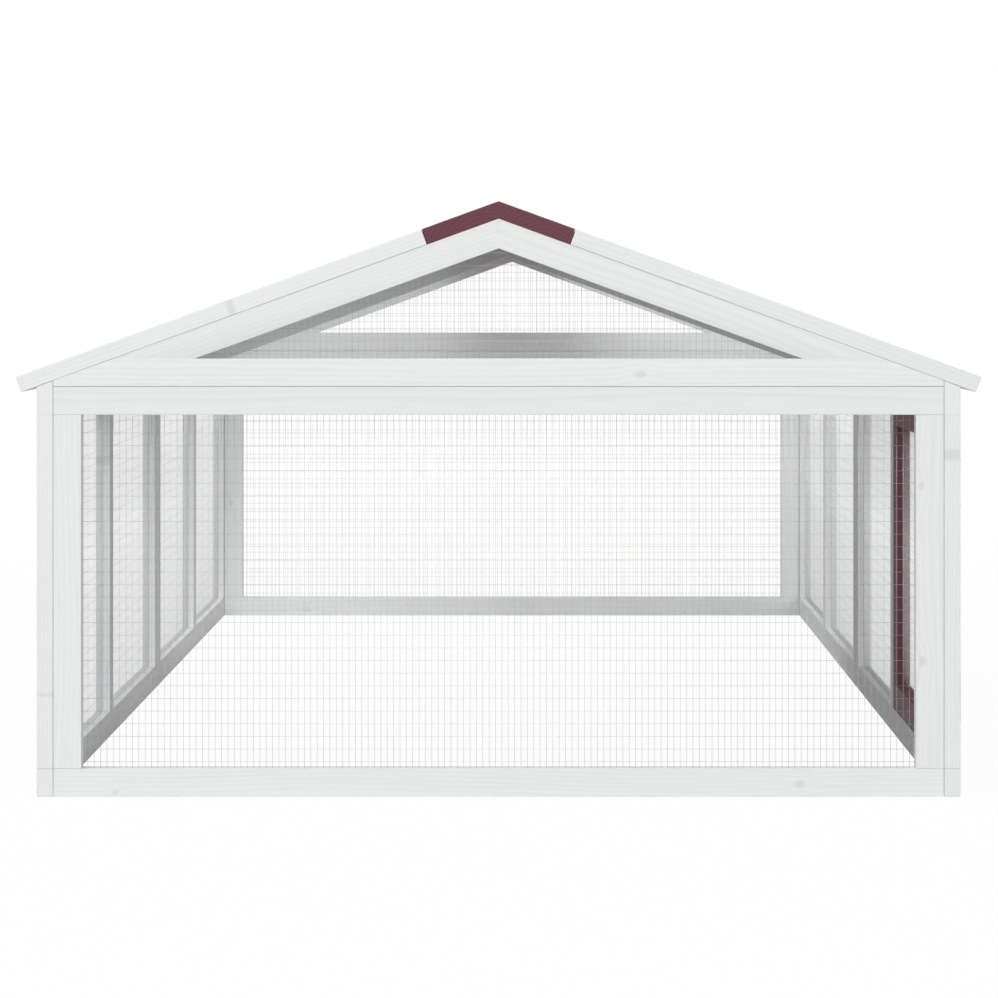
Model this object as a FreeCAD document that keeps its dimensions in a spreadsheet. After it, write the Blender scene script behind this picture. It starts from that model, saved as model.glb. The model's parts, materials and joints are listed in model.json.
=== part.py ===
import FreeCAD, Part
import os
from types import SimpleNamespace

import Sketcher

# A gable-roofed run for small animals: framed mesh walls, a mesh door in the right wall,
# fixed ridge boards and four hinged roof lids. It is open to the ground.
# Millimetres and degrees. X is right, Y runs from the front gable to the rear one, Z is up.
# The origin is on the ground, at the middle of the footprint.

SIZES = (
    # The whole run
    ("body_width", 955),
    ("panel_length", 890),
    ("wall_height", 424),
    ("roof_pitch", 20),
    ("eave_overhang", 17),
    # Planed timber
    ("stock_width", 29),
    ("stock_thickness", 17),
    ("roof_thickness", 17),
    ("ridge_board_width", 84.5),
    # Roof lids
    ("lid_gap", 0.5),
    ("lid_board_width", 64),
    ("lid_board_thickness", 9),
    ("lid_board_joint", 0.8),
    # Door in the right wall
    ("door_width", 427),
    ("door_gap", 2),
    # Wire mesh, set in saw grooves in the frames
    ("mesh_wire", 1.6),
    ("mesh_cell_width", 24),
    ("mesh_cell_height", 48),
    ("groove_depth", 5),
    ("groove_clearance", 0.2),
    # Butt hinges
    ("hinge_length", 50),
    ("hinge_leaf_width", 22),
    ("hinge_leaf_thickness", 1.2),
    ("hinge_barrel_radius", 2),
    ("hinge_pin_radius", 1),
    ("hinge_pin_clearance", 0.05),
    ("hinge_clearance", 0.3),
    ("door_hinge_inset", 70),
    ("lid_hinge_inset", 320),
    # Slide bolt and its keeper
    ("bolt_radius", 3),
    ("bolt_length", 50),
    ("bolt_travel", 14),
    ("bolt_clearance", 0.1),
    ("bolt_knob_radius", 2.5),
    ("bolt_knob_height", 7),
    ("bolt_plate_length", 52),
    ("bolt_plate_width", 24),
    ("bolt_plate_thickness", 1.5),
    ("bolt_plate_inset", 1),
    ("bolt_guide_length", 7),
    ("bolt_guide_wall", 1.8),
    ("keeper_length", 14),
    ("keeper_inset", 2),
    ("keeper_clearance", 0.5),
    # Wood screws
    ("screw_head_radius", 4),
    ("screw_head_height", 2.2),
    ("screw_head_rise", 0.3),
    ("screw_shank_radius", 1.75),
    ("screw_length", 40),
)
SCREW_HEIGHT_SHARES = (0.06, 0.5, 0.94)
RIDGE_SCREW_SHARES = (0.35, 0.72)
LEAST_CELL_SHARE = 0.12

doc = FreeCAD.newDocument("animal_run")
sheet = doc.addObject("Spreadsheet::Sheet", "Sizes")
for row, (alias, number) in enumerate(SIZES, 1):
    sheet.set(f"A{row}", alias)
    sheet.set(f"B{row}", str(number))
    sheet.setAlias(f"B{row}", alias)
doc.recompute()

# Every size is passed on as an expression on the sheet's cells
size = SimpleNamespace(**{alias: f"Sizes.{alias}" for alias, number in SIZES})
pitch_tan = f"tan({size.roof_pitch} * 1 deg)"
pitch_cos = f"cos({size.roof_pitch} * 1 deg)"
half_width = f"({size.body_width} / 2)"
inner_half = f"({half_width} - {size.stock_thickness})"
end_width = f"(2 * {inner_half})"
rail_top = f"({size.wall_height} - {size.stock_width})"
bay_height = f"({rail_top} - {size.stock_width})"
bevel_rise = f"({size.stock_thickness} * {pitch_tan})"
gable_base = f"({size.wall_height} + {size.stock_width})"
ridge_under = f"({size.wall_height} + {half_width} * {pitch_tan})"
rafter_drop = f"({size.stock_width} / {pitch_cos})"

# Directions in which a piece drawn flat is stood up
FLAT = ("0; 0; 1", "0")
FACING_FRONT = ("1; 0; 0", "90")
FACING_RIGHT = ("1; 1; 1", "120")
ON_SLOPE = {1: ("0; 1; 0", size.roof_pitch), -1: ("0; 1; 0", f"-{size.roof_pitch}")}
ROOF_ORIGIN = ("0", "0", ridge_under)
ORIGIN = ("0", "0", "0")
SIDES = {"left": -1, "right": 1}

nodes = []


def value(expression):
    return float(sheet.evalExpression(expression))


def place(piece, turn, base):
    axis, angle = turn
    piece.setExpression("Placement", f"create(<<placement>>; create(<<vector>>; {'; '.join(base)});"
                        f" create(<<rotation>>; create(<<vector>>; {axis}); {angle}))")
    return piece


def node(label, pieces, turn=FLAT, base=ORIGIN):
    group = doc.addObject("Part::Compound", label)
    group.Label = label
    group.Links = pieces
    nodes.append(place(group, turn, base))


def span(side, start, length):
    # Where a length starts on one side of the middle plane
    return start if side > 0 else f"(-({start}) - ({length}))"


def box(name, corner, lengths):
    piece = doc.addObject("Part::Box", name)
    for side, length in zip(("Length", "Width", "Height"), lengths):
        piece.setExpression(side, length)
    return place(piece, FLAT, corner)


def rod(name, radius, length, base, turn):
    piece = doc.addObject("Part::Cylinder", name)
    piece.setExpression("Radius", radius)
    piece.setExpression("Height", length)
    return place(piece, turn, base)


def cone(name, low_radius, high_radius, height, base):
    piece = doc.addObject("Part::Cone", name)
    piece.setExpression("Radius1", low_radius)
    piece.setExpression("Radius2", high_radius)
    piece.setExpression("Height", height)
    return place(piece, FLAT, base)


def cut(name, piece, tool):
    result = doc.addObject("Part::Cut", name)
    result.Base = piece
    result.Tool = tool
    return result


def fuse(name, pieces):
    result = doc.addObject("Part::MultiFuse", name)
    result.Shapes = pieces
    return result


def prism(name, plane, outline, length, base=ORIGIN):
    # A closed outline on one of the body's planes, padded along that plane's axis
    body = doc.addObject("PartDesign::Body", name)
    sketch = body.newObject("Sketcher::SketchObject", f"{name}_outline")
    support = next(feature for feature in body.Origin.OriginFeatures if feature.Role == plane)
    sketch.AttachmentSupport = [(support, "")]
    sketch.MapMode = "FlatFace"
    corners = [FreeCAD.Vector(value(across), value(up), 0) for across, up in outline]
    count = len(corners)
    for index, corner in enumerate(corners):
        sketch.addGeometry(Part.LineSegment(corner, corners[(index + 1) % count]), False)
    for index in range(count):
        sketch.addConstraint(Sketcher.Constraint("Coincident", index, 2, (index + 1) % count, 1))
    for index, (point, corner) in enumerate(zip(outline, corners)):
        for kind, expression, number in zip(("DistanceX", "DistanceY"), point, corner):
            datum = sketch.addConstraint(Sketcher.Constraint(kind, -1, 1, index, 1, number))
            sketch.setExpression(f"Constraints[{datum}]", expression)
    pad = body.newObject("PartDesign::Pad", f"{name}_pad")
    pad.Profile = sketch
    pad.setExpression("Length", length)
    pad.Reversed = plane == "XZ_Plane"
    return place(body, FLAT, base)


# Wire mesh and the grooves that hold it, drawn flat in a panel's own plane


def rectangle(left, low, right, high):
    corners = [(left, low), (right, low), (right, high), (left, high), (left, low)]
    return Part.makePolygon([FreeCAD.Vector(across, up, 0) for across, up in corners])


def net(name, outline, thickness, clipped=False):
    # One face with a hole for each cell, made solid; slanted borders clip the cells they cross
    wire = value(size.mesh_wire)
    edge = Part.makePolygon([FreeCAD.Vector(*point, 0) for point in outline + outline[:1]])
    frame = edge.BoundBox
    border = Part.Face(edge.makeOffset2D(-wire, 2))
    columns = max(1, round((frame.XLength - wire) / value(size.mesh_cell_width)))
    rows = max(1, round((frame.YLength - wire) / value(size.mesh_cell_height)))
    step_across = (frame.XLength - wire) / columns
    step_up = (frame.YLength - wire) / rows
    holes = []
    for column in range(columns):
        for row in range(rows):
            left = frame.XMin + wire + column * step_across
            low = frame.YMin + wire + row * step_up
            hole = rectangle(left, low, left + step_across - wire, low + step_up - wire)
            if clipped:
                cell = Part.Face(hole)
                inside = cell.common(border)
                if inside.Area < cell.Area * LEAST_CELL_SHARE:
                    continue
                hole = inside.Faces[0].OuterWire
            holes.append(hole.reversed())
    face = Part.Face([edge] + holes)
    face.translate(FreeCAD.Vector(0, 0, value(thickness) / 2 - wire / 2))
    piece = doc.addObject("Part::Feature", name)
    piece.Shape = face.extrude(FreeCAD.Vector(0, 0, wire))
    return piece


def grown(opening, growth):
    across, up, width, height = opening
    return (f"({across} - {growth})", f"({up} - {growth})",
            f"({width} + 2 * {growth})", f"({height} + 2 * {growth})")


def seat(name, opening, infill, thickness):
    # The groove all round an opening for an infill of one thickness
    across, up, width, height = grown(opening, f"({size.groove_depth} + {size.groove_clearance})")
    depth = f"({infill} + 2 * {size.groove_clearance})"
    return box(name, (across, up, f"({thickness} / 2 - {depth} / 2)"), (width, height, depth))


def mesh_sheet(name, opening, thickness):
    across, up, width, height = (value(part) for part in grown(opening, size.groove_depth))
    outline = [(across, up), (across + width, up), (across + width, up + height), (across, up + height)]
    return net(name, outline, thickness)


def panel(prefix, members, openings, infill, thickness, turn, base):
    # Grooved frame members, given by node as flat rectangles or as ready pieces
    seats = doc.addObject("Part::Compound", f"{prefix}_grooves")
    seats.Links = [seat(f"{prefix}_groove_{index}", opening, infill, thickness)
                   for index, opening in enumerate(openings)]
    for label, pieces in members.items():
        grooved = []
        for index, member in enumerate(pieces):
            if isinstance(member, tuple):
                across, up, width, height = member
                name = f"{prefix}_{label}_stick_{index}"
                member = box(name, (across, up, "0"), (width, height, thickness))
            grooved.append(cut(f"{prefix}_{label}_cut_{index}", member, seats))
        node(f"{prefix}_{label}", grooved, turn, base)


def mesh_node(label, openings, thickness, turn, base):
    sheets = [mesh_sheet(f"{label}_sheet_{index}", opening, thickness)
              for index, opening in enumerate(openings)]
    node(label, sheets, turn, base)


# Gable ends: a framed panel between the side walls, with a triangular frame on top


def gable_end(end, face):
    base = (f"-{inner_half}", face, "0")
    bay = f"({end_width} - 2 * {size.stock_width})"
    openings = [(size.stock_width, size.stock_width, bay, bay_height)]
    members = {
        "bottom_rail": [("0", "0", end_width, size.stock_width)],
        "top_rail": [("0", rail_top, end_width, size.stock_width)],
        "stiles": [(across, size.stock_width, size.stock_width, bay_height)
                   for across in ("0", f"({end_width} - {size.stock_width})")],
    }
    panel(end, members, openings, size.mesh_wire, size.stock_thickness, FACING_FRONT, base)
    mesh_node(f"{end}_mesh", openings, size.stock_thickness, FACING_FRONT, base)
    gable(end, face)


def gable_corners(growth):
    # The gable's triangular opening, left, right and top, grown on all three sides
    low = f"({gable_base} - {growth})"
    top = f"({ridge_under} - {rafter_drop} + {growth} / {pitch_cos})"
    corner = f"(({top} - {low}) / {pitch_tan})"
    return [(f"-{corner}", low), (corner, low), ("0", top)]


def gable(end, face):
    shoulder = f"({half_width} - {size.stock_width} / {pitch_tan})"
    shoulder_top = f"({size.wall_height} + {bevel_rise})"
    rail = [(f"-{inner_half}", size.wall_height), (inner_half, size.wall_height),
            (inner_half, shoulder_top), (shoulder, gable_base),
            (f"-{shoulder}", gable_base), (f"-{inner_half}", shoulder_top)]
    front = f"({face} - {size.stock_thickness})"
    base = ("0", front, "0")
    groove_wall = f"({size.mesh_wire} + 2 * {size.groove_clearance})"
    groove_start = f"({front} + {size.stock_thickness} / 2 - {groove_wall} / 2)"
    groove = prism(f"{end}_gable_groove", "XZ_Plane",
                   gable_corners(f"({size.groove_depth} + {size.groove_clearance})"),
                   groove_wall, ("0", groove_start, "0"))
    rail_piece = prism(f"{end}_gable_rail_stick", "XZ_Plane", rail, size.stock_thickness, base)
    node(f"{end}_gable_rail", [cut(f"{end}_gable_rail_cut", rail_piece, groove)])
    (toe, low), apex = gable_corners("0")[1:]
    rafters = []
    for side, sign in (("left", "-"), ("right", "")):
        outline = [(f"{sign}{shoulder}", gable_base), ("0", ridge_under), ("0", apex[1]),
                   (f"{sign}{toe}", low)]
        stick = prism(f"{end}_rafter_stick_{side}", "XZ_Plane", outline, size.stock_thickness, base)
        rafters.append(cut(f"{end}_rafter_cut_{side}", stick, groove))
    node(f"{end}_gable_rafters", rafters)
    outline = [(value(across), value(up)) for across, up in gable_corners(size.groove_depth)]
    triangle = net(f"{end}_gable_sheet", outline, size.stock_thickness, clipped=True)
    node(f"{end}_gable_mesh", [triangle], FACING_FRONT, ("0", face, "0"))


# Side walls: two framed panels each, whose top rails are bevelled to the roof


def side_panel(prefix, side, start, first_bay, door_bay=False):
    left_face = inner_half if side > 0 else f"-{half_width}"
    base = (left_face, start, "0")
    second = f"({size.stock_width} + {first_bay})"
    last = f"({size.panel_length} - {size.stock_width})"
    second_bay = f"({last} - {second} - {size.stock_width})"
    openings = [(f"({second} + {size.stock_width})", size.stock_width, second_bay, bay_height)]
    if not door_bay:
        openings.append((size.stock_width, size.stock_width, first_bay, bay_height))
    inner, outer = f"({size.wall_height} + {bevel_rise})", size.wall_height
    near_top, far_top = (inner, outer) if side > 0 else (outer, inner)
    section = [(rail_top, "0"), (near_top, "0"), (far_top, size.stock_thickness),
               (rail_top, size.stock_thickness)]
    members = {
        "bottom_rail": [("0", "0", size.panel_length, size.stock_width)],
        "top_rail": [prism(f"{prefix}_top_rail_stick", "YZ_Plane", section, size.panel_length)],
        "stiles": [(along, size.stock_width, size.stock_width, bay_height)
                   for along in ("0", second, last)],
    }
    panel(prefix, members, openings, size.mesh_wire, size.stock_thickness, FACING_RIGHT, base)
    mesh_node(f"{prefix}_mesh", openings, size.stock_thickness, FACING_RIGHT, base)


# Roof: rafters at mid length, mitred ridge boards and four lids, drawn on the slope


def mid_rafters():
    foot_top = f"({size.wall_height} + {bevel_rise})"
    rafters = []
    for side, sign in (("left", "-"), ("right", "")):
        outline = [(f"{sign}{inner_half}", foot_top), ("0", ridge_under),
                   ("0", f"({ridge_under} - {rafter_drop})"),
                   (f"{sign}{inner_half}", f"({foot_top} - {rafter_drop})")]
        rafters.append(prism(f"mid_rafter_{side}", "XZ_Plane", outline, size.stock_thickness,
                             ("0", f"(-{size.stock_thickness} / 2)", "0")))
    node("mid_rafters", rafters)


mitre = f"({size.roof_thickness} * {pitch_tan})"
ridge_edge = f"({size.ridge_board_width} - {mitre})"
lid_start = f"({ridge_edge} + {size.lid_gap})"
lid_reach = f"({half_width} / {pitch_cos} + {size.eave_overhang} - {lid_start})"
lid_length = f"({size.panel_length} - {size.lid_gap} / 2)"
lid_axis = f"({ridge_edge} + {size.lid_gap} / 2)"


def ridge_board(name, side):
    sign = "" if side > 0 else "-"
    outline = [("0", "0"), (f"{sign}{ridge_edge}", "0"),
               (f"{sign}{ridge_edge}", size.roof_thickness),
               (f"-({sign}{mitre})", size.roof_thickness)]
    length = f"(2 * {size.panel_length})"
    board = prism(f"{name}_stick", "XZ_Plane", outline, length, ("0", f"-{size.panel_length}", "0"))
    node(f"ridge_board_{name}", [board], ON_SLOPE[side], ROOF_ORIGIN)


def lid(prefix, side, start, solid):
    bar = size.stock_width
    across = span(side, lid_start, lid_reach)
    bay = (f"({across} + {bar})", f"({start} + {bar})",
           f"({lid_reach} - 2 * {bar})", f"({lid_length} - 2 * {bar})")
    sticks = [(across, start, lid_reach, bar),
              (across, f"({start} + {lid_length} - {bar})", lid_reach, bar),
              (across, bay[1], bar, bay[3]),
              (f"({across} + {lid_reach} - {bar})", bay[1], bar, bay[3])]
    if solid:
        panel(prefix, {"frame": sticks}, [bay], size.lid_board_thickness, size.roof_thickness,
              ON_SLOPE[side], ROOF_ORIGIN)
        lid_boards(prefix, bay, side)
        return
    half_bay = f"(({bay[3]} - {bar}) / 2)"
    middle = f"({bay[1]} + {half_bay})"
    sticks.append((bay[0], middle, bay[2], bar))
    bays = [(bay[0], low, bay[2], half_bay) for low in (bay[1], f"({middle} + {bar})")]
    panel(prefix, {"frame": sticks}, bays, size.mesh_wire, size.roof_thickness,
          ON_SLOPE[side], ROOF_ORIGIN)
    mesh_node(f"{prefix}_mesh", bays, size.roof_thickness, ON_SLOPE[side], ROOF_ORIGIN)


def lid_boards(prefix, bay, side):
    # Boards laid edge to edge along the lid, their rims in the frame's groove
    across, low, width, length = grown(bay, size.groove_depth)
    count = max(1, round(value(width) / value(size.lid_board_width)))
    pitch = f"(({width} + {size.lid_board_joint}) / {count})"
    rest = f"({size.roof_thickness} / 2 - {size.lid_board_thickness} / 2)"
    boards = [box(f"{prefix}_board_{index}", (f"({across} + {index} * {pitch})", low, rest),
                  (f"({pitch} - {size.lid_board_joint})", length, size.lid_board_thickness))
              for index in range(count)]
    node(f"{prefix}_boards", boards, ON_SLOPE[side], ROOF_ORIGIN)


# Door: a framed mesh panel that fills the front bay of the right wall

door_bay_width = f"({size.door_width} + 2 * {size.door_gap})"
door_height = f"({bay_height} - 2 * {size.door_gap})"
door_start = f"({size.stock_width} + {size.door_gap})"
door_end = f"({door_start} + {size.door_width})"
wall_base = (inner_half, f"-{size.panel_length}", "0")
wall_face = (half_width, f"-{size.panel_length}", "0")


def door():
    bar = size.stock_width
    bay = (f"({door_start} + {bar})", f"({door_start} + {bar})",
           f"({size.door_width} - 2 * {bar})", f"({door_height} - 2 * {bar})")
    rails = [(door_start, low, size.door_width, bar)
             for low in (door_start, f"({door_start} + {door_height} - {bar})")]
    stiles = [(along, bay[1], bar, bay[3]) for along in (door_start, f"({door_end} - {bar})")]
    panel("door", {"rails": rails, "stiles": stiles}, [bay], size.mesh_wire,
          size.stock_thickness, FACING_RIGHT, wall_base)
    mesh_node("door_mesh", [bay], size.stock_thickness, FACING_RIGHT, wall_base)


# Butt hinges, drawn flat with their pin along Y and the face that carries them at zero

axis_height = f"({size.hinge_barrel_radius} + {size.hinge_clearance})"
leaf_start = f"({size.hinge_barrel_radius} + {size.hinge_clearance})"
leaf_width = f"({size.hinge_leaf_width} - {leaf_start})"
knuckle = f"({size.hinge_length} / 3)"
knuckle_length = f"({knuckle} - {size.hinge_clearance})"
bore_radius = f"({size.hinge_pin_radius} + {size.hinge_pin_clearance})"
ALONG_Y = ("1; 0; 0", "-90")


def hinge_leaf(name, side, knuckles, base):
    parts = [box(f"{name}_plate", (span(side, leaf_start, leaf_width), "0", "0"),
                 (leaf_width, size.hinge_length, size.hinge_leaf_thickness))]
    for index in knuckles:
        low = f"({index} * {knuckle} + {size.hinge_clearance} / 2)"
        parts.append(rod(f"{name}_barrel_{index}", size.hinge_barrel_radius, knuckle_length,
                         ("0", low, axis_height), ALONG_Y))
        web_reach = f"({leaf_start} + {size.hinge_leaf_thickness})"
        parts.append(box(f"{name}_web_{index}", (span(side, "0", web_reach), low, "0"),
                         (web_reach, knuckle_length, size.hinge_leaf_thickness)))
    bore = rod(f"{name}_bore", bore_radius, size.hinge_length, ("0", "0", axis_height), ALONG_Y)
    return place(cut(f"{name}_leaf", fuse(f"{name}_body", parts), bore), FLAT, base)


def hinge_set(prefix, side, places, fixed_label, moving_label, turn, base):
    # The carrying leaves have the outer knuckles, the moving ones the middle knuckle
    fixed, moving, pins = [], [], []
    for index, spot in enumerate(places):
        fixed.append(hinge_leaf(f"{prefix}_fixed_{index}", -side, (0, 2), spot))
        moving.append(hinge_leaf(f"{prefix}_moving_{index}", side, (1,), spot))
        along, low, face = spot
        pins.append(rod(f"{prefix}_pin_{index}", size.hinge_pin_radius, size.hinge_length,
                        (along, low, f"({face} + {axis_height})"), ALONG_Y))
    if fixed_label:
        node(fixed_label, fixed, turn, base)
    node(moving_label, moving, turn, base)
    return fixed, pins


def door_hinges():
    axis = f"({door_start} - {size.door_gap} / 2)"
    low = f"({door_start} + {size.door_hinge_inset} - {size.hinge_length} / 2)"
    high = f"({door_start} + {door_height} - {size.door_hinge_inset} - {size.hinge_length} / 2)"
    places = [(axis, spot, "0") for spot in (low, high)]
    fixed, pins = hinge_set("door_hinge", 1, places, "door_hinge_wall_leaves",
                            "door_hinge_door_leaves", FACING_RIGHT, wall_face)
    node("door_hinge_pins", pins, FACING_RIGHT, wall_face)


def lid_hinges(lids):
    fixed_groups, pin_groups = [], []
    for prefix, side, start in lids:
        low = f"({start} + {size.lid_hinge_inset} - {size.hinge_length} / 2)"
        high = f"({start} + {lid_length} - {size.lid_hinge_inset} - {size.hinge_length} / 2)"
        axis = lid_axis if side > 0 else f"-{lid_axis}"
        places = [(axis, spot, size.roof_thickness) for spot in (low, high)]
        fixed, pins = hinge_set(prefix, side, places, None, f"{prefix}_hinge_leaves",
                                ON_SLOPE[side], ROOF_ORIGIN)
        for groups, pieces, kind in ((fixed_groups, fixed, "ridge"), (pin_groups, pins, "pin")):
            group = doc.addObject("Part::Compound", f"{prefix}_{kind}_group")
            group.Links = pieces
            groups.append(place(group, ON_SLOPE[side], ROOF_ORIGIN))
    node("ridge_hinge_leaves", fixed_groups)
    node("ridge_hinge_pins", pin_groups)


# Slide bolt at the door's free edge, drawn back, and its keeper on the wall's next stile

bolt_height = f"({door_start} + {door_height} - {size.stock_width} / 2)"
bolt_axis = f"({size.bolt_plate_thickness} + {size.bolt_clearance} + {size.bolt_radius})"
bolt_tip = f"({door_end} - {size.bolt_plate_inset})"
guide_space = f"({size.bolt_travel} + 2 * {size.bolt_knob_radius} + 2 * {size.keeper_clearance})"
ALONG_X = ("0; 1; 0", "90")


def guide_block(name, along, length, clearance):
    # A block over the bolt's path, standing on its plate
    half = f"({size.bolt_radius} + {clearance} + {size.bolt_guide_wall})"
    return box(name, (along, f"({bolt_height} - {half})", "0"),
               (length, f"(2 * {half})", f"({bolt_axis} + {half})"))


def plate(name, along, length):
    return box(name, (along, f"({bolt_height} - {size.bolt_plate_width} / 2)", "0"),
               (length, size.bolt_plate_width, size.bolt_plate_thickness))


def bolt_bore(name, along, length, clearance):
    return rod(name, f"({size.bolt_radius} + {clearance})", length,
               (along, bolt_height, bolt_axis), ALONG_X)


def slide_bolt():
    plate_start = f"({bolt_tip} - {size.bolt_plate_length})"
    first_guide = f"({bolt_tip} - {size.bolt_guide_length})"
    second_end = f"({first_guide} - {guide_space})"
    second_guide = f"({second_end} - {size.bolt_guide_length})"
    guides = [guide_block(f"bolt_guide_{index}", along, size.bolt_guide_length, size.bolt_clearance)
              for index, along in enumerate((first_guide, second_guide))]
    base = plate("bolt_base", plate_start, size.bolt_plate_length)
    bore = bolt_bore("bolt_bore", plate_start, size.bolt_plate_length, size.bolt_clearance)
    node("bolt_plate", [cut("bolt_plate_piece", fuse("bolt_plate_body", [base] + guides), bore)],
         FACING_RIGHT, wall_face)
    knob_along = f"({second_end} + {size.keeper_clearance} + {size.bolt_knob_radius})"
    knob_height = f"({size.bolt_radius} + {size.bolt_guide_wall} + {size.bolt_knob_height})"
    knob = rod("bolt_knob", size.bolt_knob_radius, knob_height,
               (knob_along, bolt_height, bolt_axis), FLAT)
    shaft = bolt_bore("bolt_shaft", f"({bolt_tip} - {size.bolt_length})", size.bolt_length, "0")
    node("slide_bolt", [fuse("slide_bolt_piece", [shaft, knob])], FACING_RIGHT, wall_face)
    keeper_start = f"({door_end} + {size.door_gap} + {size.keeper_inset})"
    block = guide_block("keeper_block", keeper_start, size.bolt_guide_length, size.keeper_clearance)
    bore = bolt_bore("keeper_bore", keeper_start, size.keeper_length, size.keeper_clearance)
    floor = plate("keeper_floor", keeper_start, size.keeper_length)
    body = fuse("keeper_body", [floor, block])
    node("bolt_keeper", [cut("keeper_piece", body, bore)], FACING_RIGHT, wall_face)


# Wood screws: a sunk head that stands a hair proud of the surface, and a shank into the timber


def screw(name, turn, base):
    head_start = f"({size.screw_head_rise} - {size.screw_head_height})"
    shank = rod(f"{name}_shank", size.screw_shank_radius, f"({size.screw_length} + {head_start})",
                ("0", "0", f"-{size.screw_length}"), FLAT)
    head = cone(f"{name}_head", size.screw_shank_radius, size.screw_head_radius,
                size.screw_head_height, ("0", "0", head_start))
    return place(fuse(f"{name}_piece", [shank, head]), turn, base)


def corner_screws():
    screws = []
    for side_name, side in SIDES.items():
        turn = ("0; 1; 0", "90" if side > 0 else "-90")
        face = half_width if side > 0 else f"-{half_width}"
        for end, sign in (("front", "-"), ("rear", "")):
            along = f"({sign}({size.panel_length} - {size.stock_thickness} / 2))"
            for index, share in enumerate(SCREW_HEIGHT_SHARES):
                up = f"({size.stock_width} + {bay_height} * {share})"
                screws.append(screw(f"screw_{side_name}_{end}_{index}", turn, (face, along, up)))
    node("corner_screws", screws)


def ridge_screws():
    ends = f"({size.panel_length} - {size.stock_thickness} / 2)"
    groups = []
    for side_name, side in SIDES.items():
        screws = []
        for line, along in enumerate((f"-{ends}", "0", ends)):
            for index, share in enumerate(RIDGE_SCREW_SHARES):
                across = f"({side} * {ridge_edge} * {share})"
                screws.append(screw(f"ridge_screw_{side_name}_{line}_{index}", FLAT,
                                    (across, along, size.roof_thickness)))
        group = doc.addObject("Part::Compound", f"ridge_screws_{side_name}")
        group.Links = screws
        groups.append(place(group, ON_SLOPE[side], ROOF_ORIGIN))
    node("ridge_screws", groups)


# The whole run

gable_end("front", f"({size.stock_thickness} - {size.panel_length})")
gable_end("rear", size.panel_length)
even_bay = f"(({size.panel_length} - 3 * {size.stock_width}) / 2)"
for side_name, side in SIDES.items():
    has_door = side > 0
    front_bay = door_bay_width if has_door else even_bay
    side_panel(f"{side_name}_front", side, f"-{size.panel_length}", front_bay, has_door)
    side_panel(f"{side_name}_rear", side, "0", even_bay)
    ridge_board(side_name, side)
mid_rafters()
lids = []
for side_name, side in SIDES.items():
    for end, start, solid in (("front", f"-{size.panel_length}", True),
                              ("rear", f"({size.lid_gap} / 2)", False)):
        lid(f"lid_{end}_{side_name}", side, start, solid)
        lids.append((f"lid_{end}_{side_name}", side, start))
lid_hinges(lids)
door()
door_hinges()
slide_bolt()
corner_screws()
ridge_screws()

doc.recompute()
for item in doc.Objects:
    if "Invalid" in item.State or "Error" in item.State:
        raise RuntimeError(f"{item.Label} failed to build")
for group in nodes:
    if group.Shape.isNull() or not group.Shape.isValid():
        raise RuntimeError(f"{group.Label} has no valid shape")
os.makedirs("parts", exist_ok=True)
for group in nodes:
    group.Shape.exportStep(f"parts/{group.Label}.step")
    print(group.Label, len(group.Shape.Solids), round(group.Shape.Volume))
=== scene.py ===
import json
import math
import random

import bmesh
import bpy
from mathutils import Matrix, Vector
from mathutils.geometry import convex_hull_2d


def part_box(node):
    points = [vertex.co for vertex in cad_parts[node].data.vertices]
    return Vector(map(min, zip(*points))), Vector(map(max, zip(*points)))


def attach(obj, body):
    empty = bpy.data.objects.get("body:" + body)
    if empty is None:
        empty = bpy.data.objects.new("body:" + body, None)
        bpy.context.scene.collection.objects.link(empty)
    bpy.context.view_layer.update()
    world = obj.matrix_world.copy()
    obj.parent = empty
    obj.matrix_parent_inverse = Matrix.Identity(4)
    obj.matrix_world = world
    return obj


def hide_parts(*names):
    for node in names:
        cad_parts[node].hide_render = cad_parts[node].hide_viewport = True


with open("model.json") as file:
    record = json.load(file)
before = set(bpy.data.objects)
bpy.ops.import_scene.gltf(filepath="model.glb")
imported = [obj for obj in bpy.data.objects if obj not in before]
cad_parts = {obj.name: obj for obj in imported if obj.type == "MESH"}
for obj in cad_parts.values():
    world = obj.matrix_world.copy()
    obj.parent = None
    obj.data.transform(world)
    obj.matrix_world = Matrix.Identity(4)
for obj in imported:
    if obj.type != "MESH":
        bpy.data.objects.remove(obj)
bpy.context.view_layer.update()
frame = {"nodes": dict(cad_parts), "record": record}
scene = bpy.context.scene
scene.view_settings.view_transform = "Standard"
nodes = frame["nodes"]
bodyOf = {name: body for body, names in frame["record"]["behaviour"]["bodies"].items() for name in names}
slotOf = {part["node"]: part["material_slot"] for part in frame["record"]["subparts"]}


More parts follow.
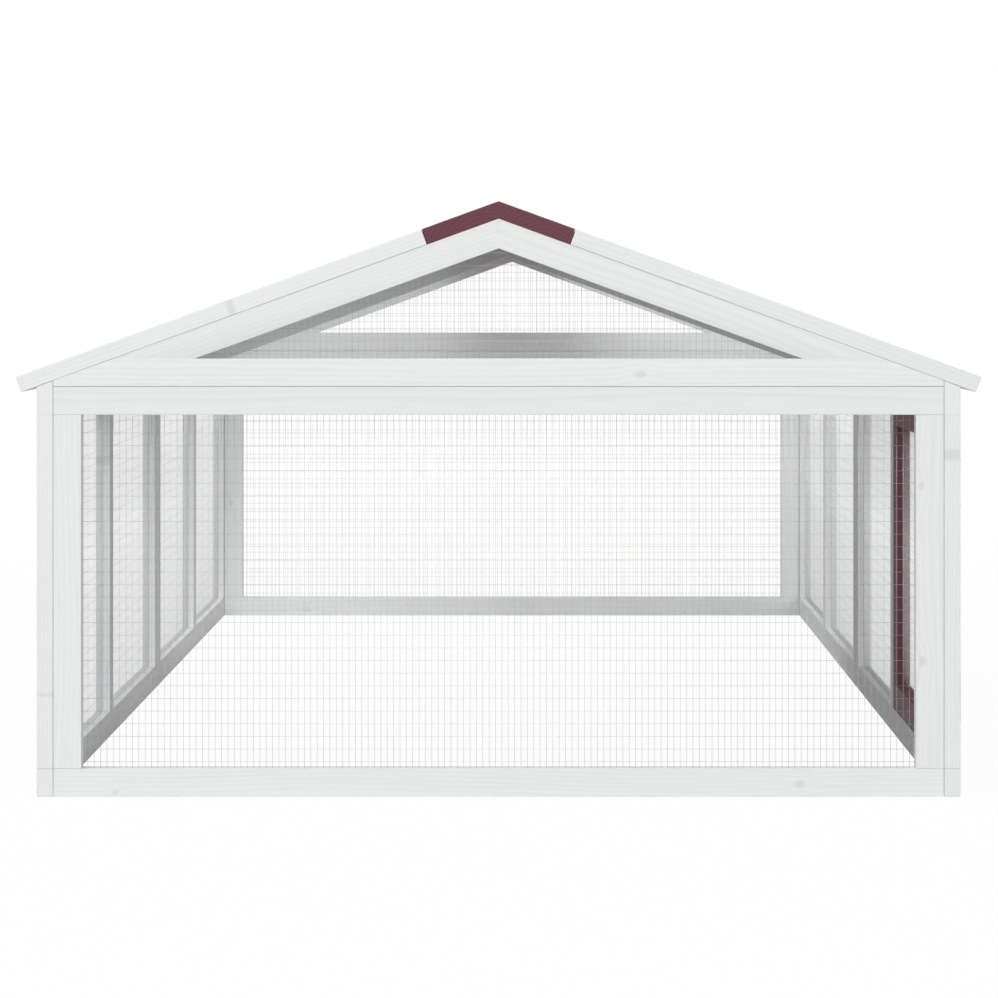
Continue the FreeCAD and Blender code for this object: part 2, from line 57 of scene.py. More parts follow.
class Flow:
    # one socket of a node tree; sums and products on it become Math nodes
    def __init__(self, tree, socket=None):
        self.tree = tree
        self.socket = socket

    def node(self, kind, settings=None, sockets=None, out=0):
        made = self.tree.nodes.new("ShaderNode" + kind)
        for name, value in (settings or {}).items():
            setattr(made, name, value)
        for name, value in (sockets or {}).items():
            if isinstance(value, Flow):
                self.tree.links.new(value.socket, made.inputs[name])
            else:
                made.inputs[name].default_value = value
        return Flow(self.tree, made.outputs[out] if len(made.outputs) else None)

    def pick(self, out):  # another output of the same node
        return Flow(self.tree, self.socket.node.outputs[out])

    def maths(self, operation, *terms):
        return self.node("Math", {"operation": operation}, dict(enumerate(terms)))

    def __add__(self, other):
        return self.maths("ADD", self, other)

    def __sub__(self, other):
        return self.maths("SUBTRACT", self, other)

    def __rsub__(self, other):
        return self.maths("SUBTRACT", other, self)

    def __mul__(self, other):
        return self.maths("MULTIPLY", self, other)

    def __truediv__(self, other):
        return self.maths("DIVIDE", self, other)

    def __rtruediv__(self, other):
        return self.maths("DIVIDE", other, self)

    def __gt__(self, other):
        return self.maths("GREATER_THAN", self, other)

    def __lt__(self, other):
        return self.maths("LESS_THAN", self, other)

    __radd__ = __add__
    __rmul__ = __mul__

    def size(self):
        return self.maths("ABSOLUTE", self)

    def part(self):
        return self.maths("FRACT", self)

    def least(self, other):
        return self.maths("MINIMUM", self, other)

    def most(self, other):
        return self.maths("MAXIMUM", self, other)

    def length(self, other):  # of the two as the legs of a right angle
        return self.maths("SQRT", self * self + other * other)

    def rise(self, low, high):  # 0 below low, 1 above high, smooth between
        return self.node("MapRange", {"interpolation_type": "SMOOTHSTEP"},
                         {"Value": self, "From Min": low, "From Max": high})

    def stretch(self, along, wide, thin):  # a vector's three parts times three numbers
        return self.node("VectorMath", {"operation": "MULTIPLY"}, {0: self, 1: (along, wide, thin)})

    def noise(self, scale, detail=2.0, roughness=0.5):
        return self.node("TexNoise", None, {"Vector": self, "Scale": scale, "Detail": detail,
                                            "Roughness": roughness})

    def over(self, below, above):  # this value as the factor between two colours
        return self.node("Mix", {"data_type": "RGBA"}, {0: self, 6: below, 7: above}, out=2)


def linear(red, green, blue):
    # a colour as seen on a screen, 0 to 255, as the light it stands for
    def light(part):
        return part / 12.92 if part <= 0.04045 else ((part + 0.055) / 1.055) ** 2.4

    return tuple(light(part / 255) for part in (red, green, blue)) + (1.0,)


def newFinish(name):
    material = bpy.data.materials.new(name)
    material.use_nodes = True
    material.node_tree.nodes.clear()
    return material, Flow(material.node_tree)


def closeFinish(flow, sockets):
    shader = flow.node("BsdfPrincipled", None, sockets)
    flow.node("OutputMaterial", None, {"Surface": shader})


# planed fir: rings round a pith beside each stick, fibres, and a knot here and there

washedLook = {
    "early": linear(236, 237, 237), "late": linear(221, 222, 223), "knot": linear(176, 176, 178),
    # the edge tone here is painted shade: a grey that darkens every edge of the white sticks, so that the joints
    # between them show as shadow lines
    "wearAndEdgeShade": linear(206, 207, 208), "fibre": linear(226, 227, 228),
    "ringStep": 0.0042, "ringShow": 0.3, "fibreShow": 0.4, "knotShow": 0.24, "wearAndEdgeShadeShow": 0.25,
    "knotSpacing": 0.19, "knotShare": 0.5, "toneSpread": 0.05, "roughness": 0.62, "bump": 0.25,
}
mochaLook = {
    "early": linear(107, 60, 71), "late": linear(87, 48, 58), "knot": linear(63, 37, 44),
    # the edge tone here is rubbed wear, lighter than the stain
    "wearAndEdgeShade": linear(132, 86, 90), "fibre": linear(99, 56, 66),
    "ringStep": 0.0046, "ringShow": 0.6, "fibreShow": 0.6, "knotShow": 0.75, "wearAndEdgeShadeShow": 0.3,
    "knotSpacing": 0.26, "knotShare": 0.5, "toneSpread": 0.1, "roughness": 0.58, "bump": 0.3,
}
knotFigure = {
    "scatter": 0.9, "wander": 0.03, "stretch": 1.5, "radius": 0.0018, "growth": 0.003,
    "ragged": 0.5, "raggedScale": 160, "edge": (0.55, 1.15), "swirlReach": 4.5,
}
ringFigure = {
    "drift": 0.03, "driftScale": 2.4, "driftLot": 50, "ripple": 0.0022, "rippleScale": (9, 60, 60),
    "swirl": 0.004, "pithWide": 0.07, "wideLot": 7.3, "pithThin": 0.05, "thinLot": 13.7, "pithClear": 0.012,
    "lateRise": (0.25, 0.9), "lateFall": (0.93, 1.0), "lateLeast": 0.6, "lateCloud": 0.8,
}
surfaceFigure = {
    "stickShift": 37, "fibreScale": (14, 750, 750), "fibreRough": 0.6, "fibreEdge": (0.42, 0.72),
    "cloudScale": (5, 60, 60), "wearAndEdgeShadeScale": 90, "wearAndEdgeShadeMiddle": 0.45, "wearAndEdgeShadeRagged": 0.004, "wearAndEdgeShadeDepth": 0.0016,
    "toneLot": 5.1, "toneShare": 0.6, "cloudShare": 0.4, "specular": 0.3, "bumpDistance": 0.0005,
    "lateSink": 0.35, "fibreSink": 0.5, "knotSink": 0.25, "fibreMatt": 0.12, "knotGloss": 0.1,
}


def firFinish(name, look):
    material, flow = newFinish(name)
    knots, rings, surface = knotFigure, ringFigure, surfaceFigure
    grain = flow.node("Attribute", {"attribute_name": "grain"}, out="Vector")
    half = flow.node("Attribute", {"attribute_name": "half"}, out="Vector")
    tone = flow.node("Attribute", {"attribute_name": "tone"}, out="Fac")
    halves = flow.node("SeparateXYZ", None, {0: half})
    along = flow.node("SeparateXYZ", None, {0: grain})
    wide, thin = along.pick(1), along.pick(2)
    run = along + tone * surface["stickShift"]  # no two sticks share their figure

    # knots: one place in each stretch of the stick, some of them empty
    cells = flow.node("TexVoronoi", {"voronoi_dimensions": "1D"},
                      {"W": run / look["knotSpacing"], "Scale": 1.0, "Randomness": knots["scatter"]})
    lot = flow.node("SeparateColor", None, {0: cells.pick("Color")})
    offset = wide - (lot - 0.5) * knots["wander"]
    reach = cells * (look["knotSpacing"] / knots["stretch"])
    radius = lot.pick(2) * knots["growth"] + knots["radius"]
    ragged = grain.noise(knots["raggedScale"]) - 0.5
    far = reach.length(offset) / radius + ragged * knots["ragged"]
    present = lot.pick(1) > 1 - look["knotShare"]
    knot = (1 - far.rise(*knots["edge"])) * present
    swirl = (1 - far.rise(0.0, knots["swirlReach"])) * present

    # rings: distance from the pith, which wanders along the stick
    driftPlace = flow.node("CombineXYZ", None, {0: run * rings["driftScale"], 1: tone * rings["driftLot"]})
    drift = driftPlace.noise(1, 1) - 0.5
    ripple = grain.stretch(*rings["rippleScale"]).noise(1) - 0.5
    pithWide = wide + ((tone * rings["wideLot"]).part() - 0.5) * rings["pithWide"] + drift * rings["drift"]
    pithThin = thin + (tone * rings["thinLot"]).part() * rings["pithThin"] + rings["pithClear"]
    radial = pithWide.length(pithThin) + ripple * rings["ripple"] + swirl * rings["swirl"]
    ring = (radial / look["ringStep"]).part()
    late = ring.rise(*rings["lateRise"]) * (1 - ring.rise(*rings["lateFall"]))
    fibre = grain.stretch(*surface["fibreScale"]).noise(1, 3, surface["fibreRough"])
    cloudLong, cloudWide, cloudThin = surface["cloudScale"]
    cloudPlace = flow.node("CombineXYZ", None, {0: run * cloudLong, 1: wide * cloudWide, 2: thin * cloudThin})
    cloud = cloudPlace.noise(1)

    # a tone near every edge of each stick: on the mocha sticks it is rubbed wear, lighter than the stain; on the
    # white sticks it is painted shade, a grey that makes the joints between sticks read as shadow lines; the
    # middle one of the three gaps to the faces is the way to the nearest edge
    gapLong, gapWide, gapThin = (halves.pick(axis) - along.pick(axis).size() for axis in range(3))
    nearEdge = gapWide.least(gapThin).most(gapWide.most(gapThin).least(gapLong))
    wearAndEdgeShadeJitter = (grain.noise(surface["wearAndEdgeShadeScale"], 3) - surface["wearAndEdgeShadeMiddle"]) * surface["wearAndEdgeShadeRagged"]
    wearAndEdgeShade = 1 - (nearEdge + wearAndEdgeShadeJitter).rise(0.0, surface["wearAndEdgeShadeDepth"])

    ringTint = late * look["ringShow"] * (rings["lateLeast"] + cloud * rings["lateCloud"])
    colour = ringTint.over(look["early"], look["late"])
    colour = (fibre.rise(*surface["fibreEdge"]) * look["fibreShow"]).over(colour, look["fibre"])
    colour = (knot * look["knotShow"]).over(colour, look["knot"])
    # painted shade along the edges of the white sticks, rubbed wear along the edges of the mocha sticks
    colour = (wearAndEdgeShade * look["wearAndEdgeShadeShow"]).over(colour, look["wearAndEdgeShade"])
    stickTone = (tone * surface["toneLot"]).part() * surface["toneShare"]
    shade = 1 - look["toneSpread"] * (stickTone + cloud * surface["cloudShare"])
    colour = flow.node("VectorMath", {"operation": "SCALE"}, {0: colour, "Scale": shade})
    height = 1 - late * surface["lateSink"] - fibre * surface["fibreSink"] - knot * surface["knotSink"]
    bump = flow.node("Bump", None, {"Strength": look["bump"], "Distance": surface["bumpDistance"],
                                    "Height": height})
    roughness = look["roughness"] + fibre * surface["fibreMatt"] - knot * surface["knotGloss"]
    closeFinish(flow, {"Base Color": colour, "Roughness": roughness, "Normal": bump,
                       "Specular IOR Level": surface["specular"]})
    return material


# galvanised wire and zinc plated iron

wireLook = {
    "bright": linear(206, 207, 208), "dull": linear(180, 182, 183), "metallic": 0.85,
    "spangleScale": 350, "spangleEdge": (0.35, 0.7), "spangleShow": 0.7, "cloudScale": 14, "cloudShow": 0.3,
    "roughness": 0.3, "roughSpread": 0.25,
}
zincLook = {
    "bright": linear(206, 207, 209), "dull": linear(160, 160, 158), "tint": linear(190, 184, 160),
    "spangleScale": 420, "spangleShow": 0.25, "cloudScale": 45, "cloudRough": 0.6,
    "dullEdge": (0.35, 0.75), "dullShow": 0.6, "tintEdge": (0.55, 0.8), "tintShow": 0.35,
    "roughness": 0.28, "roughSpread": 0.22, "rubScale": 900, "bump": 0.12, "bumpDistance": 0.0002,
}


def wireFinish(look):
    material, flow = newFinish("galvanisedWire")
    place = flow.node("TexCoord", out="Object")
    spangle = place.noise(look["spangleScale"], 3)
    cloud = place.noise(look["cloudScale"])
    dulled = spangle.rise(*look["spangleEdge"]) * look["spangleShow"] + cloud * look["cloudShow"]
    closeFinish(flow, {"Base Color": dulled.over(look["bright"], look["dull"]), "Metallic": look["metallic"],
                       "Roughness": look["roughness"] + spangle * look["roughSpread"]})
    return material


def zincFinish(look):
    material, flow = newFinish("zincPlate")
    place = flow.node("TexCoord", out="Object")
    spangle = flow.node("TexVoronoi", {"feature": "F1"}, {"Vector": place, "Scale": look["spangleScale"]})
    grey = flow.node("SeparateColor", None, {0: spangle.pick("Color")})
    cloud = place.noise(look["cloudScale"], 4, look["cloudRough"])
    rubbed = place.noise(look["rubScale"])
    dulled = cloud.rise(*look["dullEdge"]) * look["dullShow"] + grey * look["spangleShow"]
    colour = dulled.over(look["bright"], look["dull"])
    colour = (cloud.rise(*look["tintEdge"]) * look["tintShow"]).over(colour, look["tint"])
    bump = flow.node("Bump", None, {"Strength": look["bump"], "Distance": look["bumpDistance"],
                                    "Height": rubbed})
    closeFinish(flow, {"Base Color": colour, "Metallic": 1.0, "Normal": bump,
                       "Roughness": look["roughness"] + cloud * look["roughSpread"]})
    return material


finishes = {
    "whitewashed_fir": firFinish("washedFir", washedLook),
    "mocha_fir": firFinish("mochaFir", mochaLook),
    "mesh_wire": wireFinish(wireLook),
    "zinc_hardware": zincFinish(zincLook),
}
print("finishes:", ", ".join(finishes))


# pieces: each starts from the solids of its node

solidCut = {"weldDigits": 6, "flatAngle": 0.5}  # corners this close are one, faces this flat are one; degrees
edgeCut = {"sharpAngle": 25, "flushReach": 0.0003}
shadeCut = {"sharpAngle": 70, "faceWeight": 60}


def solidsOf(name):
    # faces of one solid follow one another, so each run of faces that closes is a solid
    mesh = nodes[name].data
    spots, spotOf = {}, []
    for vert in mesh.vertices:
        spot = tuple(round(part, solidCut["weldDigits"]) for part in vert.co)
        spotOf.append(spots.setdefault(spot, len(spots)))
    points = list(spots)
    solids, run, openEdges = [], [], set()
    for face in mesh.polygons:
        loop = [spotOf[index] for index in face.vertices]
        run.append(loop)
        for start, end in zip(loop, loop[1:] + loop[:1]):
            if (end, start) in openEdges:
                openEdges.remove((end, start))
            else:
                openEdges.add((start, end))
        if not openEdges:
            solids.append(solidFrom(points, run))
            run = []
    return solids


def solidFrom(points, loops):
    shape = bmesh.new()
    corners = {}
    for loop in loops:
        for spot in loop:
            if spot not in corners:
                corners[spot] = shape.verts.new(points[spot])
        shape.faces.new([corners[spot] for spot in loop])
    shape.normal_update()
    bmesh.ops.dissolve_limit(shape, angle_limit=math.radians(solidCut["flatAngle"]),
                             verts=shape.verts, edges=shape.edges)
    shape.normal_update()
    return shape


def easeEdges(shape, radius, segments, flushHeight=0.0):
    # edges at the ridge mitre, at a flush joint or on the ground stay crisp, so these close
    def onLevel(edge, axis, level):
        return all(abs(vert.co[axis] - level) <= edgeCut["flushReach"] for vert in edge.verts)

    def eased(edge):
        return (edge.calc_face_angle(0) > math.radians(edgeCut["sharpAngle"])
                and not onLevel(edge, 0, 0) and not onLevel(edge, 2, flushHeight))

    sharp = [edge for edge in shape.edges if eased(edge)]
    bmesh.ops.bevel(shape, geom=sharp, offset=radius, offset_type="OFFSET", segments=segments, profile=0.5,
                    affect="EDGES", clamp_overlap=True)
    shape.normal_update()


def addPiece(name, points, loops, slot, body, replaced=()):
    mesh = bpy.data.meshes.new(name)
    mesh.from_pydata(points, [], loops)
    mesh.polygons.foreach_set("use_smooth", [True] * len(loops))
    mesh.materials.append(finishes[slot])
    piece = bpy.data.objects.new(name, mesh)
    scene.collection.objects.link(piece)
    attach(piece, body)
    if replaced:
        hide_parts(*replaced)
    return piece


def gather(shapes):
    points, loops = [], []
    for shape in shapes:
        shape.verts.index_update()
        start = len(points)
        points += [vert.co.copy() for vert in shape.verts]
        loops += [[start + vert.index for vert in face.verts] for face in shape.faces]
    return points, loops


def flatFaces(piece):
    # smooth over the eased edges only, so that large faces shade flat
    piece.data.set_sharp_from_angle(angle=math.radians(shadeCut["sharpAngle"]))
    modifier = piece.modifiers.new("flatFaces", "WEIGHTED_NORMAL")
    modifier.weight = shadeCut["faceWeight"]
    modifier.keep_sharp = True


# timber: every stick keeps its solid and gets eased edges and its own run of grain

timberCut = {"edgeRadius": 0.0006, "edgeSegments": 2, "panelGap": 0.00012, "squareWithin": 0.01}
flushTops = ("_gable_rail", "_front_stiles", "_rear_stiles")  # what stands on these is sanded flush with them
panels = ("front_gable", "rear_gable", "front", "rear", "left_front", "left_rear", "right_front", "right_rear",
          "mid", "ridge", "lid_front_left", "lid_front_right", "lid_rear_left", "lid_rear_right", "door")


def upward(direction):
    return -direction if max(direction, key=abs) < 0 else direction


def thinnest(shape, normals):
    def depth(normal):
        reach = [vert.co.dot(normal) for vert in shape.verts]
        return max(reach) - min(reach)

    return upward(min(normals, key=depth).normalized())


def grainAxes(shape):
    longest = max(shape.edges, key=lambda edge: edge.calc_length())
    along = upward((longest.verts[1].co - longest.verts[0].co).normalized())
    normals = [face.normal for face in shape.faces]
    thin = thinnest(shape, [normal for normal in normals if abs(normal.dot(along)) < timberCut["squareWithin"]])
    return along, thin.cross(along), thin


def loosen(shapes):
    # a hair of air round a panel, so that its joints with its neighbours show
    for axis in grainAxes(shapes[0]):
        reach = [vert.co.dot(axis) for shape in shapes for vert in shape.verts]
        middle, span = (max(reach) + min(reach)) / 2, max(reach) - min(reach)
        for shape in shapes:
            for vert in shape.verts:
                vert.co -= axis * (vert.co.dot(axis) - middle) * 2 * timberCut["panelGap"] / span


def dressTimber(name, shapes, slot, body, radius, flushHeight=0.0, replaced=()):
    grain, half, tone = [], [], []
    for index, shape in enumerate(shapes):
        axes = grainAxes(shape)
        spans = [[vert.co.dot(axis) for vert in shape.verts] for axis in axes]
        middle = [(max(span) + min(span)) / 2 for span in spans]
        halves = [(max(span) - min(span)) / 2 for span in spans]
        easeEdges(shape, radius, timberCut["edgeSegments"], flushHeight)
        lot = random.Random(f"{name} {index}").random()
        for vert in shape.verts:
            grain += [vert.co.dot(axis) - centre for axis, centre in zip(axes, middle)]
            half += halves
            tone.append(lot)
    piece = addPiece(name, *gather(shapes), slot, body, replaced)
    for label, kind, values in (("grain", "FLOAT_VECTOR", grain), ("half", "FLOAT_VECTOR", half),
                                ("tone", "FLOAT", tone)):
        layer = piece.data.attributes.new(label, kind, "POINT")
        layer.data.foreach_set("value" if kind == "FLOAT" else "vector", values)
    flatFaces(piece)


sticks = {panel: {} for panel in panels}
for name, slot in slotOf.items():
    if slot.endswith("_fir"):
        panel = next(panel for panel in panels if name.startswith(panel))
        sticks[panel][name] = solidsOf(name)
for panel, pieces in sticks.items():
    loosen([shape for shapes in pieces.values() for shape in shapes])
    flush = next((name for name in pieces if name.endswith(flushTops)), None)
    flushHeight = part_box(flush)[1].z if flush else 0.0
    for name, shapes in pieces.items():
        dressTimber(name + "_timber", shapes, slotOf[name], bodyOf[name], timberCut["edgeRadius"],
                    flushHeight, [name])
print("timber:", ", ".join(sticks))


# wire mesh: upright wires on one face of the cross wires, welded where they meet

wireCut = {"radius": 0.00017, "across": 0.0066, "up": 0.0131, "sides": 6, "sink": 0.0004, "weld": 0.9}


def wireAlong(points, loops, start, end):
    along = (end - start).normalized()
    right = along.orthogonal().normalized()
    ahead = along.cross(right)
    first, sides = len(points), wireCut["sides"]
    for centre in (start, end):
        for step in range(sides):
            turn = math.tau * step / sides
            points.append(centre + (right * math.cos(turn) + ahead * math.sin(turn)) * wireCut["radius"])
    for step in range(sides):
        after = (step + 1) % sides
        loops.append([first + step, first + after, first + sides + after, first + sides + step])
    loops.append([first + step for step in reversed(range(sides))])
    loops.append([first + sides + step for step in range(sides)])


def crossing(outline, axis, value):
    # where a line at this value of one axis cuts the outline, on the other axis
    cuts = []
    for start, end in zip(outline, outline[1:] + outline[:1]):
        low, high = start[axis], end[axis]
        if (low - value) * (high - value) < 0:
            share = (value - low) / (high - low)
            cuts.append(start[1 - axis] + share * (end[1 - axis] - start[1 - axis]))
    return min(cuts), max(cuts)


def steps(low, high, pitch):
    count = int((high - low) / pitch)
    start = (low + high) / 2 - pitch * (count - 1) / 2
    return [start + pitch * index for index in range(count)]


def meshPlanes(name):
    # for each sheet of a mesh: its middle, its three directions and its corners, counter-clockwise
    for shape in solidsOf(name):
        normal = thinnest(shape, [face.normal for face in shape.faces])
        across = Vector((0, 1, 0)) if abs(normal.y) < 0.5 else Vector((1, 0, 0))
        up = upward(normal.cross(across))
        depth = [vert.co.dot(normal) for vert in shape.verts]
        centre = normal * (max(depth) + min(depth)) / 2
        flat = [Vector((vert.co.dot(across), vert.co.dot(up))) for vert in shape.verts]
        hull = [flat[index] for index in convex_hull_2d(flat)]
        outline = [spot for spot, before in zip(hull, hull[-1:] + hull[:-1])
                   if (spot - before).length > wireCut["across"]]
        yield centre, across, up, normal, outline


def dressMesh(name):
    points, loops = [], []
    for centre, across, up, normal, outline in meshPlanes(name):
        for axis, pitch, side in ((0, wireCut["across"], 1), (1, wireCut["up"], -1)):
            low, high = min(spot[axis] for spot in outline), max(spot[axis] for spot in outline)
            first, second = (across, up) if axis == 0 else (up, across)
            plane = centre + normal * side * (wireCut["radius"] * wireCut["weld"])
            for value in steps(low, high, pitch):
                line = plane + first * value
                start, end = crossing(outline, axis, value)
                start, end = start + wireCut["sink"], end - wireCut["sink"]
                wireAlong(points, loops, line + second * start, line + second * end)
    addPiece(name + "_wires", points, loops, slotOf[name], bodyOf[name], [name])


# beads: strips pressed into the saw grooves, which close them round the wires

beadCut = {"width": 0.0018, "depth": 0.0048, "edgeRadius": 0.00015}


def inset(outline, depth):
    corners = []
    for before, spot, after in zip(outline[-1:] + outline[:-1], outline, outline[1:] + outline[:1]):
        sides = [(spot - before).normalized(), (after - spot).normalized()]
        first, second = (Vector((-side.y, side.x)) for side in sides)
        corners.append(spot + (first + second) * depth / (1 + first.dot(second)))
    return corners


def dressBeads(name):
    shapes = []
    for centre, across, up, normal, outline in meshPlanes(name):
        inner = inset(outline, beadCut["depth"])
        for start in range(len(outline)):
            end = (start + 1) % len(outline)
            corners = (outline[start], outline[end], inner[end], inner[start])
            shape = bmesh.new()
            rings = []
            for side in (-1, 1):
                lift = normal * side * beadCut["width"] / 2
                rings.append([shape.verts.new(centre + across * spot.x + up * spot.y + lift) for spot in corners])
            low, high = rings
            shape.faces.new(reversed(low))
            shape.faces.new(high)
            for corner in range(len(corners)):
                shape.faces.new((low[corner - 1], low[corner], high[corner], high[corner - 1]))
            bmesh.ops.recalc_face_normals(shape, faces=shape.faces)
            shapes.append(shape)
    slot = "mocha_fir" if bodyOf[name] == "door" else "whitewashed_fir"
    dressTimber(name + "_beads", shapes, slot, bodyOf[name], beadCut["edgeRadius"])


meshNodes = [name for name, slot in slotOf.items() if slot == "mesh_wire"]
for name in meshNodes:
    dressMesh(name)
    dressBeads(name)
print("mesh:", len(meshNodes), "pieces and their beads")


# hardware: hinges, pins, bolt and keeper with broken edges

ironCut = {"edgeRadius": 0.0003, "edgeSegments": 2}
screwNodes = ("corner_screws", "ridge_screws")
ironNodes = [name for name, slot in slotOf.items() if slot == "zinc_hardware" and name not in screwNodes]
for name in ironNodes:
    shapes = solidsOf(name)
    for shape in shapes:
        easeEdges(shape, ironCut["edgeRadius"], ironCut["edgeSegments"])
    flatFaces(addPiece(name + "_iron", *gather(shapes), slotOf[name], bodyOf[name], [name]))
print("hardware:", len(ironNodes), "pieces")


# screws: sunk heads with a cross recess, large ones in the timber and small ones in the iron; millimetres

timberHead = {"profile": ((3.4, -0.6), (4.0, 0.0), (3.95, 0.2), (3.7, 0.28)), "top": 0.3,
              "arm": 2.0, "slot": 0.45, "depth": 1.4}
ironHead = {"profile": ((2.0, -0.4), (2.3, 0.0), (2.25, 0.16), (2.05, 0.25)), "top": 0.28,
            "arm": 1.25, "slot": 0.3, "depth": 0.7}
headCut = {"sides": 20, "recessTaper": 0.7}
millimetre = 0.001


def screwHead(look, points, loops, centre, axis, lot):
    shape = bmesh.new()
    sides, taper = headCut["sides"], headCut["recessTaper"]
    turns = [math.tau * step / sides for step in range(sides)]
    rings = [[shape.verts.new((radius * math.cos(turn), radius * math.sin(turn), height)) for turn in turns]
             for radius, height in look["profile"]]
    for low, high in zip(rings, rings[1:]):
        for step in range(sides):
            after = (step + 1) % sides
            shape.faces.new((low[step], low[after], high[after], high[step]))
    shape.faces.new(reversed(rings[0]))
    arm, slot = look["arm"], look["slot"]
    cross = [(arm, -slot), (arm, slot), (slot, slot), (slot, arm), (-slot, arm), (-slot, slot),
             (-arm, slot), (-arm, -slot), (-slot, -slot), (-slot, -arm), (slot, -arm), (slot, -slot)]
    rim = [shape.verts.new((x, y, look["top"])) for x, y in cross]
    floor = [shape.verts.new((x * taper, y * taper, look["top"] - look["depth"])) for x, y in cross]
    border = [shape.edges.new((rim[step - 1], rim[step])) for step in range(len(cross))]
    border += [shape.edges.get((rings[-1][step - 1], rings[-1][step])) for step in range(sides)]
    bmesh.ops.triangle_fill(shape, use_beauty=True, edges=border)
    for step in range(len(cross)):
        shape.faces.new((rim[step - 1], rim[step], floor[step], floor[step - 1]))
    shape.faces.new(floor)
    bmesh.ops.recalc_face_normals(shape, faces=shape.faces)
    spin = Matrix.Rotation(lot.random() * math.tau, 4, "Z")  # no two screws stop at the same turn
    tilt = axis.to_track_quat("Z", "Y").to_matrix().to_4x4()
    shape.transform(Matrix.Translation(centre) @ (tilt @ spin) @ Matrix.Scale(millimetre, 4))
    more, faces = gather([shape])
    loops += [[len(points) + index for index in face] for face in faces]
    points += more


for name in screwNodes:
    points, loops, lot = [], [], random.Random(name)
    for shape in solidsOf(name):
        cap = max(shape.faces, key=lambda face: face.calc_area())  # the top of the head
        spot = cap.calc_center_median() - cap.normal * timberHead["top"] * millimetre
        screwHead(timberHead, points, loops, spot, cap.normal.copy(), lot)
    flatFaces(addPiece(name + "_heads", points, loops, slotOf[name], bodyOf[name], [name]))

leafScrews = {"spots": (-0.0155, 0.0155), "facing": 0.9}
plateScrews = {"side": 0.0086, "end": 0.0035, "plateThickness": 0.0015}


def leafFaces(name, outward):
    # the outer face of each hinge leaf
    for shape in solidsOf(name):
        outer = [face for face in shape.faces if face.normal.dot(outward) > leafScrews["facing"]]
        yield max(outer, key=lambda face: face.calc_area())


for name in ironNodes:
    if not name.endswith("_leaves"):
        continue
    points, loops, lot = [], [], random.Random(name)
    hingeAxis = Vector((0, 0, 1)) if name.startswith("door") else Vector((0, 1, 0))
    outward = Vector((1, 0, 0)) if name.startswith("door") else Vector((0, 0, 1))
    for face in leafFaces(name, outward):
        corners = [vert.co for vert in face.verts]
        centre = (Vector(map(min, zip(*corners))) + Vector(map(max, zip(*corners)))) / 2
        for spot in leafScrews["spots"]:
            screwHead(ironHead, points, loops, centre + hingeAxis * spot, face.normal.copy(), lot)
    flatFaces(addPiece(name + "_screws", points, loops, slotOf[name], bodyOf[name]))

for name in ("bolt_plate", "bolt_keeper"):
    points, loops, lot = [], [], random.Random(name)
    low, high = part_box(name)
    face = low.x + plateScrews["plateThickness"]
    middle = (low.z + high.z) / 2
    ends = (low.y + plateScrews["end"], high.y - plateScrews["end"])
    for y in ends if name == "bolt_plate" else ((low.y + high.y) / 2,):
        for z in (middle - plateScrews["side"], middle + plateScrews["side"]):
            screwHead(ironHead, points, loops, Vector((face, y, z)), Vector((1, 0, 0)), lot)
    flatFaces(addPiece(name + "_screws", points, loops, slotOf[name], bodyOf[name]))
print("screws: done")


# floor, light and camera

floorLook = {"size": 40.0, "colour": linear(208, 208, 208), "white": 0.96, "fade": (1.4, 3.0)}
lightLook = {
    "ambient": 0.43,
    "key": {"from": (-0.6, -1.8, 4.2), "aim": (0, 0, 0.3), "size": 2.8, "power": 80.0},
    "fill": {"from": (0.2, -1.0, 0.12), "spread": 20, "power": 1.0},
    "side": {"from": (-1.0, -0.3, 1.5), "spread": 25, "power": 0.9},
}
cameraLook = {"place": (0.0387, -4.093, 0.528), "lens": 111.8, "shift": (-0.0371, -0.2134)}
plainWhite = (1, 1, 1, 1)


def seenPlain(flow):
    # rays that show the background itself: to the camera, in gloss and through glass
    path = flow.node("LightPath", out="Is Camera Ray")
    return path.most(path.pick("Is Glossy Ray")).most(path.pick("Is Transmission Ray"))


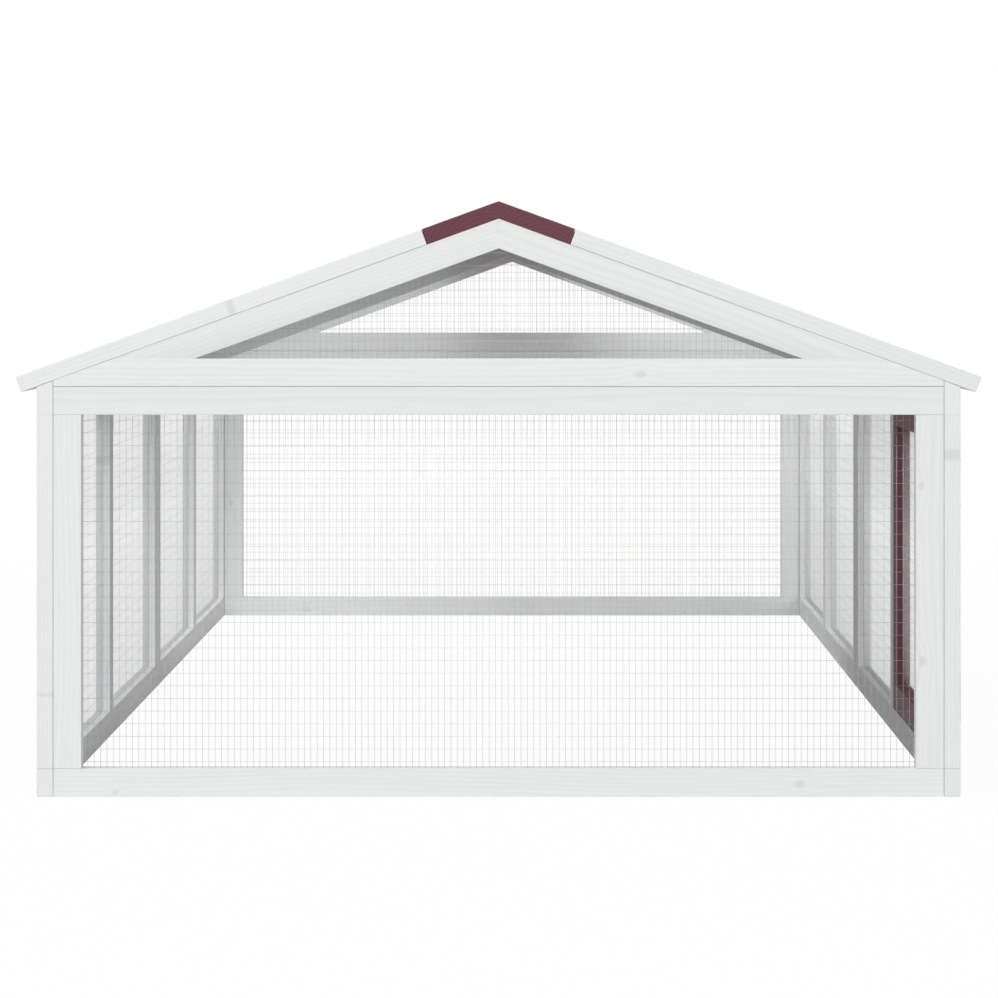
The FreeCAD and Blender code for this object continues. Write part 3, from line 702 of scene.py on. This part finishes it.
def addFloor():
    reach = floorLook["size"] / 2
    corners = [(-reach, -reach, 0), (reach, -reach, 0), (reach, reach, 0), (-reach, reach, 0)]
    mesh = bpy.data.meshes.new("floor")
    mesh.from_pydata(corners, [], [(0, 1, 2, 3)])
    floor = bpy.data.objects.new("floor", mesh)
    scene.collection.objects.link(floor)
    material, flow = newFinish("paleFloor")
    matte = flow.node("BsdfDiffuse", None, {"Color": floorLook["colour"]})
    glow = flow.node("Emission", None, {"Color": plainWhite, "Strength": 1.0})
    place = flow.node("TexCoord", out="Object")
    away = flow.node("VectorMath", {"operation": "LENGTH"}, {0: place}, out="Value")
    rest = away.rise(*floorLook["fade"]) * (1 - floorLook["white"])  # shadows stay near the run
    white = floorLook["white"] + rest
    shown = flow.node("MixShader", None, {0: seenPlain(flow) * white, 1: matte, 2: glow})
    flow.node("OutputMaterial", None, {"Surface": shown})
    mesh.materials.append(material)


def addLight():
    world = bpy.data.worlds.new("softRoom")
    world.use_nodes = True
    world.node_tree.nodes.clear()
    flow = Flow(world.node_tree)
    light = flow.node("Background", None, {"Color": plainWhite, "Strength": lightLook["ambient"]})
    plain = flow.node("Background", None, {"Color": plainWhite, "Strength": 1.0})
    shown = flow.node("MixShader", None, {0: seenPlain(flow), 1: light, 2: plain})
    flow.node("OutputWorld", None, {"Surface": shown})
    scene.world = world
    key = bpy.data.lights.new("key", "AREA")
    key.size = lightLook["key"]["size"]
    key.energy = lightLook["key"]["power"]
    addLamp(key, Vector(lightLook["key"]["from"]), Vector(lightLook["key"]["aim"]))
    for name in ("fill", "side"):
        sun = bpy.data.lights.new(name, "SUN")
        sun.angle = math.radians(lightLook[name]["spread"])
        sun.energy = lightLook[name]["power"]
        addLamp(sun, Vector(lightLook[name]["from"]), Vector())


def addLamp(light, place, aim):
    lamp = bpy.data.objects.new(light.name, light)
    lamp.location = place
    lamp.rotation_euler = (aim - place).to_track_quat("-Z", "Y").to_euler()
    scene.collection.objects.link(lamp)


def addCamera():
    lens = bpy.data.cameras.new("camera")
    lens.lens = cameraLook["lens"]
    lens.shift_x, lens.shift_y = cameraLook["shift"]
    camera = bpy.data.objects.new("camera", lens)
    camera.location = cameraLook["place"]
    camera.rotation_euler = (math.radians(90), 0, 0)  # level, towards the rear
    scene.collection.objects.link(camera)
    scene.camera = camera


addFloor()
addLight()
addCamera()
print("floor, light and camera: done")
